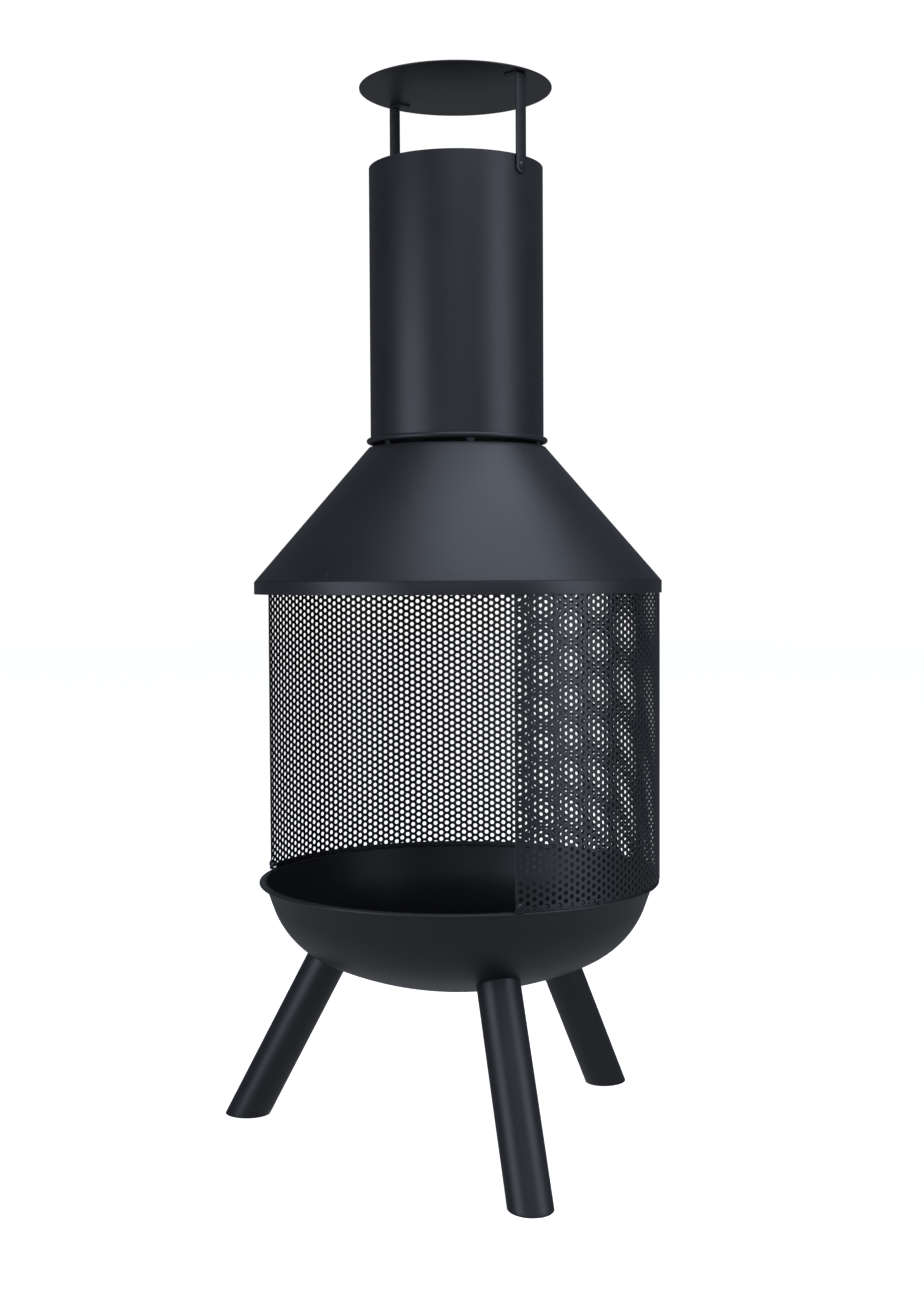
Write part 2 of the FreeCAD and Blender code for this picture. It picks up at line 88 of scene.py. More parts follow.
FLUE_R = 0.1063
FLUE_GAP = 0.0047
BEAD_R = 0.0033
BEAD_PROUD = 0.005
TAB_COUNT = 6
TAB_WIDTH = 0.0085
TAB_FIRST = 53.0
TAB_TAIL = 0.012

STRAP_WIDTH = 0.016
STRAP_SHEET = 0.0025
STRAP_FOOT = 0.021
STRAP_BEND_R = 0.003
STRAP_SCREW_UP = 0.0085
STRAP_ANGLES = {"right": 90.0, "left": -90.0}

BOWL_SHEET = 0.002
BOWL_MOUTH_R = 0.2405
BOWL_LEAN = math.radians(18.8)
BOWL_KNUCKLE_R = 0.112
BOWL_CROWN_R = 0.4
RIM_BEAD_R = 0.0018
LIP_EDGE = 0.0003
LIP_REACH = 0.0006
LIP_TURN = 0.0008
LIP_DROP = 0.001

SCREEN_SHEET = 0.001
SCREEN_OPENING = 117.8
SCREEN_FOOT_GAP = 0.0026
SCREEN_HEM = 0.0034
SCREEN_HEM_UP = 0.014
FOOT_TAB_WIDTH = 0.003
FOOT_TAB_COUNT = 9
FOOT_TAB_FIRST = 84.5
FOOT_RING_SHEET = 0.002
FOOT_RING_HEIGHT = 0.0059
FOOT_RING_SETBACK = 0.012
FOOT_RING_NECK = 0.35
CLIP_WIDTH = 0.010
CLIP_HEIGHT = 0.011
CLIP_SHEET = 0.0012
CLIP_REACH = 0.008
CLIP_SCREW_UP = 0.0066

HOLE_R = 0.0028
HOLE_SIDES = 12
COLUMNS = 132
FIRST_COLUMN_IN = 1.5
ROW_PITCH = 0.00892
LOWEST_HOLE_UP = 0.0046
ROWS = 79
SPARE_ROWS = 6
ROW_CLIMB = 0.0000595
ROW_LEVEL_ANGLE = 230.2

LEG_R = 0.02575
LEG_WALL = 0.0015
LEG_LEAN = math.radians(28.1)
LEG_ANGLES = {"front_right": 60.0, "front_left": -60.0, "rear": 180.0}
LEG_GAP = 0.0002
GLIDE = 0.0016
GLIDE_PLUG = 0.015

WELD_MARK_R = 0.0028
WELD_MARK_UP = 0.0075
WELD_MARK_FIRST = 7.0
WELD_MARK_PITCH = 36.0
WELD_MARK_SINK = 0.0003
# Share of the mark's radius, and height
WELD_MARK_RINGS = ((1.0, 0.0), (1.0, 0.0004), (0.8, 0.00065), (0.55, 0.0005))

# Shares of the socket's half width, the head's radius and the head's height
SOCKET_MOUTH = 1.35
SOCKET_TIP = 0.05
HEAD_SEAT = 0.96
SOCKET_FLOOR = 0.35
SOCKET_POINT = 0.25
SOCKET_SINK = 0.00012

# Shares of a nut's height and of its bore
NUT_CHAMFER = 0.14
THREAD_DEPTH = 0.85
BORE_FLARE = 1.05

# Button-head screws and their nuts
M4 = {"head": 0.0076, "height": 0.0022, "key": 0.0025, "nut": 0.007, "nut_height": 0.0032, "shank": 0.004}
M5 = {"head": 0.0095, "height": 0.00275, "key": 0.003, "nut": 0.008, "nut_height": 0.004, "shank": 0.005}

ROUND_STEPS = 240

# ---- Camera and studio --------------------------------------------------------------------------

CAMERA_ANGLE = 44.465
CAMERA_DISTANCE = 2.115
CAMERA_HEIGHT = 0.6889
CAMERA_YAW = -0.127
CAMERA_PITCH = 2.312
CAMERA_ROLL = -0.2855
CAMERA_LENS = 47.67

STUDIO_AIM = Vector((0, 0, 0.65))
# Name, angle from the camera, distance, height, width, tall, watts, tilt
SOFTBOXES = (
    ("key_right", 60.0, 2.0, 0.95, 0.95, 2.0, 17.0, 15.0),
    ("key_left", -56.0, 2.0, 0.7, 1.2, 1.9, 19.0, 15.0),
    ("overhead", 38.0, 0.7, 2.6, 2.5, 1.9, 39.0, 0.0),
    ("front_fill", 0.0, 3.6, 1.2, 2.8, 2.6, 16.0, 0.0),
    ("rear_fill", 180.0, 2.6, 2.7, 1.6, 1.2, 10.0, 0.0),
)
LIGHT_COLOUR = (0.79, 0.87, 1.05)
BACKGROUND_STRENGTH = 1.05
FLOOR_REACH = 14.0
FLOOR_GLOW = 0.90
ROOM_BELOW = (0.345, 0.36, 0.395)
ROOM_ABOVE = (0.105, 0.115, 0.138)


def point(radius, angle, height):
    """A point at an angle about the axis, measured from -Y towards +X."""
    turn = math.radians(angle)
    return Vector((radius * math.sin(turn), -radius * math.cos(turn), height))


def outward(angle):
    return point(1.0, angle, 0.0)


def sideways(angle):
    return point(1.0, angle + 90.0, 0.0)


# ---- Shapes: a shape is a list of points and a list of faces ------------------------------------


def joined(shapes):
    points = []
    faces = []
    for more_points, more_faces in shapes:
        start = len(points)
        points.extend(more_points)
        faces.extend(tuple(start + k for k in face) for face in more_faces)
    return points, faces


def arc(centre, radius, first, last, steps):
    """Points on a circle in the (r, z) plane, ends included. Angles in radians."""
    return [
        (
            centre[0] + radius * math.cos(first + (last - first) * k / steps),
            centre[1] + radius * math.sin(first + (last - first) * k / steps),
        )
        for k in range(steps + 1)
    ]


def rounded(corners, steps=4):
    """Closed loop from corners (x, y, radius). A radius of 0 keeps the corner sharp."""
    loop = []
    for k, (x, y, radius) in enumerate(corners):
        here = Vector((x, y))
        if radius == 0:
            loop.append((x, y))
            continue
        last_way = (Vector(corners[k - 1][:2]) - here).normalized()
        next_way = (Vector(corners[(k + 1) % len(corners)][:2]) - here).normalized()
        half = last_way.angle(next_way) / 2
        centre = here + (last_way + next_way).normalized() * (radius / math.sin(half))
        start = here + last_way * (radius / math.tan(half)) - centre
        end = here + next_way * (radius / math.tan(half)) - centre
        first = math.atan2(start.y, start.x)
        turn = math.atan2(end.y, end.x) - first
        turn = (turn + math.pi) % (2 * math.pi) - math.pi
        loop.extend(arc(centre, radius, first, first + turn, steps))
    return loop


def skin(rings, closed_ends=True, ring_round=False):
    """Faces through rings of equal length, each ring a closed row of points."""
    count = len(rings[0])
    points = [p for ring in rings for p in ring]
    faces = []
    spans = len(rings) if ring_round else len(rings) - 1
    for k in range(spans):
        here = k * count
        there = (k + 1) % len(rings) * count
        for i in range(count):
            j = (i + 1) % count
            faces.append((here + i, there + i, there + j, here + j))
    if closed_ends and not ring_round:
        faces.append(tuple(range(count)))
        faces.append(tuple(range(len(points) - count, len(points))))
    return points, faces


def lathe(loop, first=0.0, sweep=360.0, steps=ROUND_STEPS):
    """Closed (r, z) loop swept about the axis. A part turn is closed at both ends."""
    full = sweep >= 360.0
    stations = steps if full else steps + 1
    rings = [
        [point(r, first + sweep * k / steps, z) for r, z in loop]
        for k in range(stations)
    ]
    return skin(rings, ring_round=full)


def sector(loop, angle, width, radius, steps=6):
    """Part turn of a loop that is a given width wide at a radius, centred on an angle."""
    sweep = math.degrees(width / radius)
    return lathe(loop, angle - sweep / 2, sweep, steps)


def stack(rings, start, along, sides=24):
    """Turned part. A ring is (form, size, distance along): a circle's radius, or a hexagon's half width."""
    turn = Vector((0, 0, 1)).rotation_difference(along)
    made = []
    for form, size, distance in rings:
        ring = []
        for k in range(sides):
            angle = 2 * math.pi * k / sides
            radius = size
            if form == "hex":
                radius = size / math.cos((angle + math.pi / 6) % (math.pi / 3) - math.pi / 6)
            local = Vector((radius * math.cos(angle), radius * math.sin(angle), distance))
            ring.append(start + turn @ local)
        made.append(ring)
    return skin(made)


def solid_sheet(outer, inner, faces):
    """Closed sheet from two matching skins: both skins and a wall along every free edge."""
    count = len(outer)
    edges = set()
    for face in faces:
        for k in range(len(face)):
            edges.add((face[k - 1], face[k]))
    made = list(faces)
    made.extend(tuple(count + k for k in reversed(face)) for face in faces)
    for a, b in sorted(edges):
        if (b, a) not in edges:
            made.append((b, a, count + a, count + b))
    return outer + inner, made


# ---- Materials ----------------------------------------------------------------------------------

PATCH_SCALE = 9.0
GRAIN_DEPTH = 0.0002


def new_material(name):
    material = bpy.data.materials.new(name)
    material.use_nodes = True
    return material, material.node_tree


def noise(tree, scale, detail, coordinates):
    node = tree.nodes.new("ShaderNodeTexNoise")
    node.inputs["Scale"].default_value = scale
    node.inputs["Detail"].default_value = detail
    tree.links.new(coordinates, node.inputs["Vector"])
    return node.outputs["Fac"]


def spread(tree, value, low, high):
    """Maps a noise value to a range."""
    node = tree.nodes.new("ShaderNodeMapRange")
    node.inputs["From Min"].default_value = 0.3
    node.inputs["From Max"].default_value = 0.7
    node.inputs["To Min"].default_value = low
    node.inputs["To Max"].default_value = high
    tree.links.new(value, node.inputs["Value"])
    return node.outputs["Result"]


def tint(tree, value, dark, light):
    node = tree.nodes.new("ShaderNodeValToRGB")
    node.color_ramp.elements[0].position = 0.3
    node.color_ramp.elements[0].color = (*dark, 1)
    node.color_ramp.elements[1].position = 0.7
    node.color_ramp.elements[1].color = (*light, 1)
    tree.links.new(value, node.inputs["Fac"])
    return node.outputs["Color"]


def bump(tree, value, strength, distance):
    node = tree.nodes.new("ShaderNodeBump")
    node.inputs["Strength"].default_value = strength
    node.inputs["Distance"].default_value = distance
    tree.links.new(value, node.inputs["Height"])
    return node.outputs["Normal"]


def surface(name, dark, light, smooth, rough, grain, grain_strength, metallic=0.0):
    """Shader with patchy colour and roughness and a fine grain, all from the object's own coordinates."""
    material, tree = new_material(name)
    shader = tree.nodes["Principled BSDF"]
    place = tree.nodes.new("ShaderNodeTexCoord").outputs["Object"]
    patches = noise(tree, PATCH_SCALE, 4.0, place)
    specks = noise(tree, grain, 2.0, place)
    tree.links.new(tint(tree, patches, dark, light), shader.inputs["Base Color"])
    tree.links.new(spread(tree, patches, smooth, rough), shader.inputs["Roughness"])
    tree.links.new(bump(tree, specks, grain_strength, GRAIN_DEPTH), shader.inputs["Normal"])
    shader.inputs["Metallic"].default_value = metallic
    shader.inputs["Specular IOR Level"].default_value = 0.5
    return material


POWDER_COAT = surface(
    "powder_coat", (0.0085, 0.0088, 0.0098), (0.0115, 0.0118, 0.013), 0.40, 0.46, 1400.0, 0.12,
)
DARK_STEEL = surface(
    "dark_steel", (0.030, 0.031, 0.034), (0.055, 0.057, 0.062), 0.28, 0.40, 900.0, 0.1, 1.0,
)
BLACK_PLASTIC = surface(
    "black_plastic", (0.006, 0.006, 0.006), (0.010, 0.010, 0.010), 0.5, 0.62, 2200.0, 0.2,
)


# ---- Pieces -------------------------------------------------------------------------------------


def piece(name, shape, material, slot, *nodes, sharp=32.0):
    """Blender object from a shape. It rides on the one body and stands for CAD nodes."""
    mesh = bpy.data.meshes.new(name)
    points, faces = shape
    mesh.from_pydata(points, [], faces)
    work = bmesh.new()
    work.from_mesh(mesh)
    bmesh.ops.remove_doubles(work, verts=work.verts, dist=1e-7)
    bmesh.ops.recalc_face_normals(work, faces=work.faces)
    work.to_mesh(mesh)
    work.free()
    mesh.shade_smooth()
    mesh.set_sharp_from_angle(angle=math.radians(sharp))
    mesh.materials.append(material)
    made = bpy.data.objects.new(name, mesh)
    bpy.context.scene.collection.objects.link(made)
    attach(made, "root")
    if nodes:
        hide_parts(*nodes)
    return made


def steel(name, shape, *nodes):
    return piece(name, shape, POWDER_COAT, "black_steel", *nodes)


def soften(made, width=0.0003):
    """Rounds a piece's sharp edges."""
    edge = made.modifiers.new("soft_edges", "BEVEL")
    edge.width = width
    edge.segments = 2
    edge.limit_method = "ANGLE"
    edge.angle_limit = math.radians(40)
    edge.harden_normals = True
    return made


# ---- Hood ---------------------------------------------------------------------------------------

CONE_SLOPE = math.atan2(CONE_BASE_R - NECK_R, NECK_Z - FOLD_Z)


def cone_outside(height):
    return NECK_R + (NECK_Z - height) * math.tan(CONE_SLOPE)


def cone_inside(height, offset=0.0):
    return cone_outside(height) - (SHEET + offset) / math.cos(CONE_SLOPE)


def weld_mark(angle):
    """Shallow round mark that a spot weld leaves on the cone, just above the fold."""
    height = FOLD_Z + WELD_MARK_UP
    normal = (outward(angle) * math.cos(CONE_SLOPE) + Vector((0, 0, math.sin(CONE_SLOPE)))).normalized()
    seat = point(cone_outside(height), angle, height) - normal * WELD_MARK_SINK
    rings = [("round", WELD_MARK_R * share, up) for share, up in WELD_MARK_RINGS]
    return stack(rings, seat, normal)


def hood_cone():
    cone = lathe(rounded([
        (CONE_BASE_R, FOLD_Z, EASE),
        (NECK_R, NECK_Z, 0.0005),
        (cone_inside(NECK_Z), NECK_Z, FINE_EASE),
        (cone_inside(FOLD_Z), FOLD_Z, 0),
    ]))
    marks = [
        weld_mark(WELD_MARK_FIRST + WELD_MARK_PITCH * k)
        for k in range(int(360 / WELD_MARK_PITCH))
    ]
    steel("hood_cone_fine", joined([cone, *marks]), "hood_cone")


def hood_skirt():
    ledge = FOLD_Z - GAP
    flange_top = FOLD_Z + SKIRT_FLANGE * math.cos(CONE_SLOPE)
    inside = GAP + SKIRT_SHEET
    inner_r = HOOD_R - SKIRT_SHEET
    reach = inner_r + (SHEET + inside) / math.cos(CONE_SLOPE) - NECK_R
    corner_z = NECK_Z - reach / math.tan(CONE_SLOPE)
    steel("hood_skirt_fine", lathe(rounded([
        (HOOD_R, SKIRT_LOW, EASE),
        (HOOD_R, ledge, EASE),
        (cone_inside(ledge, GAP), ledge, 0),
        (cone_inside(flange_top, GAP), flange_top, 0),
        (cone_inside(flange_top, inside), flange_top, 0),
        (inner_r, corner_z, 2 * EASE),
        (inner_r, SKIRT_LOW, EASE),
    ])), "hood_skirt")


# ---- Flue and rain cap --------------------------------------------------------------------------

FLUE_LOW = NECK_Z + FLUE_GAP
FLUE_BORE_R = FLUE_R - SHEET
STRAP_IN_R = FLUE_R + GAP
STRAP_SCREW_Z = STRAP_LOW + STRAP_SCREW_UP


def flue_tab(angle):
    """Narrow tab from the flue's lower end, bent outwards under the neck of the cone."""
    bend_z = NECK_Z - SHEET
    tail_z = bend_z - TAB_TAIL * math.cos(CONE_SLOPE)
    outer_r = cone_inside(NECK_Z, GAP)
    return sector([
        (outer_r, FLUE_LOW + SHEET),
        (outer_r, NECK_Z),
        (cone_inside(tail_z, GAP), tail_z),
        (cone_inside(tail_z, GAP + SHEET), tail_z),
        (FLUE_BORE_R, bend_z),
        (FLUE_BORE_R, FLUE_LOW + SHEET),
    ], angle, TAB_WIDTH, FLUE_R)


def chimney_tube():
    """Straight flue with a rolled bead round its lower end."""
    bead = (FLUE_R + BEAD_PROUD - BEAD_R, FLUE_LOW + BEAD_R)
    top = rounded([
        (FLUE_R, FLUE_TOP, EASE),
        (FLUE_BORE_R, FLUE_TOP, EASE),
        (FLUE_BORE_R, FLUE_LOW, EASE),
        (FLUE_R, FLUE_LOW, 0),
    ])
    foot = arc(bead, BEAD_R, -math.pi / 2, math.pi / 2, 10)
    loop = [*top[:-1], *foot, (FLUE_R, FLUE_LOW + 2 * BEAD_R)]
    tabs = [flue_tab(TAB_FIRST + 360.0 / TAB_COUNT * k) for k in range(TAB_COUNT)]
    steel("chimney_tube_fine", joined([lathe(loop), *tabs]), "chimney_tube")


def rain_cap():
    steel("rain_cap_fine", lathe(rounded([
        (0.0, CAP_TOP, 0),
        (CAP_R, CAP_TOP, 0.0007),
        (CAP_R, CAP_UNDER, 0.0007),
        (0.0, CAP_UNDER, 0),
    ])), "rain_cap")


def strap_stations():
    """Middle line of a strap from tip to foot, as (r, z, outward normal in r, in z, half width)."""
    half = STRAP_WIDTH / 2
    mid_r = STRAP_IN_R + STRAP_SHEET / 2
    bend_r = STRAP_BEND_R - STRAP_SHEET / 2
    top = CAP_UNDER - STRAP_SHEET / 2
    stations = []
    for k in range(13):
        turn = math.pi / 2 * (k + 0.35) / 12.35
        stations.append((mid_r, STRAP_LOW + half * (1 - math.cos(turn)), 1.0, 0.0, half * math.sin(turn)))
    for k in range(9):
        turn = math.pi / 2 * k / 8
        r = mid_r - bend_r * (1 - math.cos(turn))
        z = top - bend_r * (1 - math.sin(turn))
        stations.append((r, z, math.cos(turn), math.sin(turn), half))
    stations.append((STRAP_IN_R + STRAP_SHEET - STRAP_FOOT, top, 0.0, 1.0, half))
    return stations


def cap_strap(name, angle):
    """Flat strap with a rounded lower end, bent inwards under the cap."""
    edge = FINE_EASE
    across = sideways(angle)
    rings = []
    for r, z, out_r, out_z, half in strap_stations():
        out = outward(angle) * out_r + Vector((0, 0, out_z))
        middle = point(r, angle, z)
        thick = STRAP_SHEET / 2
        corners = rounded([
            (half, -thick, edge),
            (half, thick, edge),
            (-half, thick, edge),
            (-half, -thick, edge),
        ], 2)
        rings.append([middle + across * a + out * b for a, b in corners])
    steel(name + "_fine", skin(rings), name)


def button_screw(size, seat, out, shank):
    """Domed head with a hexagon socket, and its shank behind the seat."""
    radius = size["head"] / 2
    rise = size["height"]
    dome = (radius ** 2 + rise ** 2) / (2 * rise)
    key = size["key"] / 2
    lip = math.sqrt(dome ** 2 - (key * SOCKET_MOUTH) ** 2) - (dome - rise)
    rings = [
        ("round", size["shank"] / 2, -shank),
        ("round", size["shank"] / 2, 0.0),
        ("round", radius * HEAD_SEAT, 0.0),
        ("round", radius, FINE_EASE),
    ]
    for k in range(1, 6):
        here = radius + (key * SOCKET_MOUTH - radius) * k / 5
        height = math.sqrt(dome ** 2 - here ** 2) - (dome - rise)
        rings.append(("round", here, max(FINE_EASE, height)))
    rings.append(("hex", key, lip - SOCKET_SINK))
    rings.append(("hex", key, rise * SOCKET_FLOOR))
    rings.append(("hex", key * SOCKET_TIP, rise * SOCKET_POINT))
    return stack(rings, seat, out)


def hexagon_nut(size, seat, inwards):
    half = size["nut"] / 2
    height = size["nut_height"]
    bore = size["shank"] / 2
    return stack([
        ("round", bore, height * THREAD_DEPTH),
        ("round", bore * BORE_FLARE, height),
        ("round", half, height),
        ("hex", half, height * (1 - NUT_CHAMFER)),
        ("hex", half, height * NUT_CHAMFER),
        ("round", half, 0.0),
        ("round", bore * BORE_FLARE, 0.0),
    ], seat, inwards)


def cap_fasteners():
    screws = []
    nuts = []
    half = M5["nut"] / math.sqrt(3.0)
    nut_seat_r = math.sqrt(FLUE_BORE_R ** 2 - half ** 2) - GAP
    for angle in STRAP_ANGLES.values():
        seat = point(STRAP_IN_R + STRAP_SHEET, angle, STRAP_SCREW_Z)
        screws.append(button_screw(M5, seat, outward(angle), 0.012))
        nuts.append(hexagon_nut(M5, point(nut_seat_r, angle, STRAP_SCREW_Z), -outward(angle)))
    piece("bracket_screws_fine", joined(screws), DARK_STEEL, "fastener", "bracket_screws")
    piece("bracket_nuts_fine", joined(nuts), DARK_STEEL, "fastener", "bracket_nuts")


# ---- Fire bowl ----------------------------------------------------------------------------------

CROWN_Z = BOWL_LOW + BOWL_CROWN_R


def knuckle_centre():
    """Centre of the arc that joins the straight upper wall to the crown."""
    down = Vector((-math.sin(BOWL_LEAN), -math.cos(BOWL_LEAN)))
    start = Vector((BOWL_MOUTH_R, RIM_Z - CROWN_Z))
    start += Vector((-math.cos(BOWL_LEAN), math.sin(BOWL_LEAN))) * BOWL_KNUCKLE_R
    along = start.dot(down)
    run = -along + math.sqrt(along ** 2 - start.dot(start) + (BOWL_CROWN_R - BOWL_KNUCKLE_R) ** 2)
    return start + down * run + Vector((0, CROWN_Z))


KNUCKLE = knuckle_centre()
KNUCKLE_END = math.atan2(KNUCKLE.y - CROWN_Z, KNUCKLE.x)


def bowl_side(offset):
    """Half section from mouth to bottom, moved inwards by an offset."""
    mouth = (BOWL_MOUTH_R - offset / math.cos(BOWL_LEAN), RIM_Z)
    knuckle = arc(KNUCKLE, BOWL_KNUCKLE_R - offset, -BOWL_LEAN, KNUCKLE_END, 28)
    crown = arc((0.0, CROWN_Z), BOWL_CROWN_R - offset, KNUCKLE_END, -math.pi / 2, 24)
    return [mouth, *knuckle, *crown[1:]]


def bowl_outside(radius):
    """Height of the bowl's outside at a radius under its crown or knuckle."""
    if radius < BOWL_CROWN_R * math.cos(KNUCKLE_END):
        return CROWN_Z - math.sqrt(BOWL_CROWN_R ** 2 - radius ** 2)
    return KNUCKLE.y - math.sqrt(BOWL_KNUCKLE_R ** 2 - (radius - KNUCKLE.x) ** 2)


def fire_bowl():
    """Dished bowl whose mouth turns out to a flat lip with a rolled edge."""
    bead = (RIM_R - RIM_BEAD_R, RIM_Z - RIM_BEAD_R)
    lip_low = RIM_Z - BOWL_SHEET
    inside = bowl_side(BOWL_SHEET)
    outside = bowl_side(0.0)
    wall_r = BOWL_MOUTH_R - BOWL_SHEET * math.tan(BOWL_LEAN)
    roll = arc(bead, RIM_BEAD_R, math.pi / 2, -math.pi * 0.75, 12)
    mouth_r = inside[0][0]
    lip = [
        (mouth_r - LIP_TURN, RIM_Z - 2 * LIP_TURN),
        (mouth_r - LIP_EDGE, RIM_Z - EASE),
        (mouth_r + LIP_REACH, RIM_Z),
    ]
    under = [(wall_r + LIP_REACH, lip_low), (wall_r, lip_low - LIP_DROP)]
    loop = [*reversed(inside[1:]), *lip, *roll, *under, *outside[1:]]
    steel("fire_bowl_fine", lathe(loop), "fire_bowl")


# ---- Spark screen -------------------------------------------------------------------------------

SCREEN_IN_R = SCREEN_R - SCREEN_SHEET
SCREEN_LOW = RIM_Z + SCREEN_FOOT_GAP
SCREEN_FIRST = SCREEN_OPENING / 2
SCREEN_LAST = 360.0 - SCREEN_FIRST
HEM_FOLD = math.degrees(SCREEN_SHEET / SCREEN_R)
COLUMN_PITCH = (SCREEN_LAST - SCREEN_FIRST - 2 * FIRST_COLUMN_IN) / (COLUMNS - 1)


def screen_place(step, rise):
    """Angle and height in the hole pattern. A step is a third of a column, a rise half a row.

    The rows climb a little round the screen, because the sheet was cut slightly askew.
    """
    angle = SCREEN_LAST - FIRST_COLUMN_IN - COLUMN_PITCH * step / 3
    climb = ROW_CLIMB * (ROW_LEVEL_ANGLE - angle)
    return angle, RIM_Z + LOWEST_HOLE_UP + ROW_PITCH * rise / 2 + climb


def trimmed(places, faces):
    """Cuts a flat pattern of (angle, height) off at the sheet's lower and upper edges."""
    work = bmesh.new()
    corners = [work.verts.new((angle, height, 0.0)) for angle, height in places]
    for face in faces:
        work.faces.new([corners[k] for k in face])
    for height, way in ((SCREEN_LOW, -1.0), (SCREEN_TOP, 1.0)):
        bmesh.ops.bisect_plane(
            work,
            geom=[*work.verts, *work.edges, *work.faces],
            dist=1e-7,
            plane_co=(0.0, height, 0.0),
            plane_no=(0.0, way, 0.0),
            clear_outer=True,
        )
    work.verts.index_update()
    kept = [(corner.co.x, corner.co.y) for corner in work.verts]
    rings = [tuple(corner.index for corner in face.verts) for face in work.faces]
    work.free()
    return kept, rings


def perforated(first_column, last_column):
    """Part of the screen: a hexagonal cell round every hole, and plain margins at the upright edges."""
    places = []
    index = {}
    faces = []

    def place(angle, height):
        key = (round(angle, 6), round(height, 8))
        if key not in index:
            index[key] = len(places)
            places.append((angle, height))
        return index[key]

    def corner(step, rise):
        return place(*screen_place(step, rise))

    def cell(column, rise):
        angle, height = screen_place(3 * column, rise)
        turns = [2 * math.pi * k / HOLE_SIDES for k in range(HOLE_SIDES)]
        ring = [
            place(
                angle - math.degrees(HOLE_R * math.cos(turn) / SCREEN_R),
                height + HOLE_R * math.sin(turn),
            )
            for turn in turns
        ]
        around = [(2, 0), (1, 1), (-1, 1), (-2, 0), (-1, -1), (1, -1)]
        corners = [corner(3 * column + a, rise + b) for a, b in around]
        per_side = HOLE_SIDES // 6
        for k in range(6):
            near = [ring[(k * per_side + i) % HOLE_SIDES] for i in range(per_side, -1, -1)]
            faces.append((corners[k], corners[(k + 1) % 6], *near))

    def rises(column):
        """Heights of a column's holes in half rows, with some to spare past both edges of the sheet."""
        return range(1 - column % 2 - 2 * SPARE_ROWS, ROWS + 2 * SPARE_ROWS, 2)

    def margin(column, side, edge_angle):
        """Plain strip between the last column and the sheet's upright edge."""
        for rise in rises(column):
            near = (3 * column + side, 3 * column + 2 * side)
            line = [corner(near[0], rise - 1), corner(near[1], rise), corner(near[0], rise + 1)]
            edge = [place(edge_angle, places[k][1]) for k in line]
            for k in range(2):
                strip = (line[k], line[k + 1], edge[k + 1], edge[k])
                faces.append(strip if side < 0 else strip[::-1])

    for column in range(first_column, last_column + 1):
        for rise in rises(column):
            cell(column, rise)
    if first_column == 0:
        margin(0, -1, SCREEN_LAST - HEM_FOLD)
    if last_column == COLUMNS - 1:
        margin(last_column, 1, SCREEN_FIRST + HEM_FOLD)
    places, faces = trimmed(places, faces)
    outer = [point(SCREEN_R, angle, z) for angle, z in places]
    inner = [point(SCREEN_IN_R, angle, z) for angle, z in places]
    return solid_sheet(outer, inner, faces)


def around_back(first_angle, count):
    """Evenly spaced angles round the back, from one angle to its mirror image."""
    step = (360.0 - 2 * first_angle) / (count - 1)
    return [first_angle + step * k for k in range(count)]


def foot_tabs(first_angle, last_angle):
    """Narrow tabs below the screen that stand on the bowl's lip."""
    loop = [
        (SCREEN_IN_R, RIM_Z),
        (SCREEN_R, RIM_Z),
        (SCREEN_R, SCREEN_LOW + SCREEN_SHEET),
        (SCREEN_IN_R, SCREEN_LOW + SCREEN_SHEET),
    ]
    return [
        sector(loop, angle, FOOT_TAB_WIDTH, SCREEN_R, 2)
        for angle in around_back(FOOT_TAB_FIRST, FOOT_TAB_COUNT)
        if first_angle <= angle < last_angle
    ]


def hem(edge_angle, side):
    """Sheet folded back on itself along an upright edge, with a round fold."""
    turns = [math.pi / 2 + math.pi * k / 8 for k in range(9)]
    section = [
        (SCREEN_IN_R + SCREEN_SHEET * math.sin(turn), SCREEN_SHEET * (1 + math.cos(turn)))
        for turn in turns
    ]
    section += [
        (SCREEN_IN_R - SCREEN_SHEET, SCREEN_HEM - FINE_EASE),
        (SCREEN_IN_R - SCREEN_SHEET + FINE_EASE, SCREEN_HEM),
        (SCREEN_IN_R + FINE_EASE, SCREEN_HEM),
        (SCREEN_IN_R + FINE_EASE, SCREEN_SHEET + GAP),
    ]
    rings = []
    for height in (RIM_Z + SCREEN_HEM_UP, SCREEN_TOP):
        rings.append([
            point(r, edge_angle + side * math.degrees(run / SCREEN_R), height)
            for r, run in section
        ])
    return skin(rings)


def spark_screen():
    """Two halves that meet at the back, so that neither mesh is too heavy."""
    middle = COLUMNS // 2
    seam = screen_place(3 * middle, 0)[0]
    left = [perforated(0, middle - 1), *foot_tabs(seam, SCREEN_LAST), hem(SCREEN_LAST, -1)]
    right = [perforated(middle, COLUMNS - 1), *foot_tabs(SCREEN_FIRST, seam), hem(SCREEN_FIRST, 1)]
    steel("spark_screen_left", joined(left), "spark_screen")
    steel("spark_screen_right", joined(right), "spark_screen")


def screen_foot_ring():
    """Hoop inside the foot of the screen. It is drawn in where it stands, which leaves a dark joint."""
    outer = SCREEN_IN_R - GAP
    inner = outer - FOOT_RING_SHEET
    setback = math.degrees(FOOT_RING_SETBACK / SCREEN_R)
    steel("screen_foot_ring_fine", lathe(rounded([
        (inner, RIM_Z, 0),
        (inner + FOOT_RING_SHEET * FOOT_RING_NECK, RIM_Z, 0),
        (inner + FOOT_RING_SHEET * FOOT_RING_NECK, RIM_Z + SCREEN_FOOT_GAP, 0),
        (outer, RIM_Z + SCREEN_FOOT_GAP + SCREEN_SHEET, FINE_EASE),
        (outer, RIM_Z + FOOT_RING_HEIGHT, EASE),
        (inner, RIM_Z + FOOT_RING_HEIGHT, EASE),
    ]), SCREEN_FIRST + setback, SCREEN_LAST - SCREEN_FIRST - 2 * setback), "screen_foot_ring")


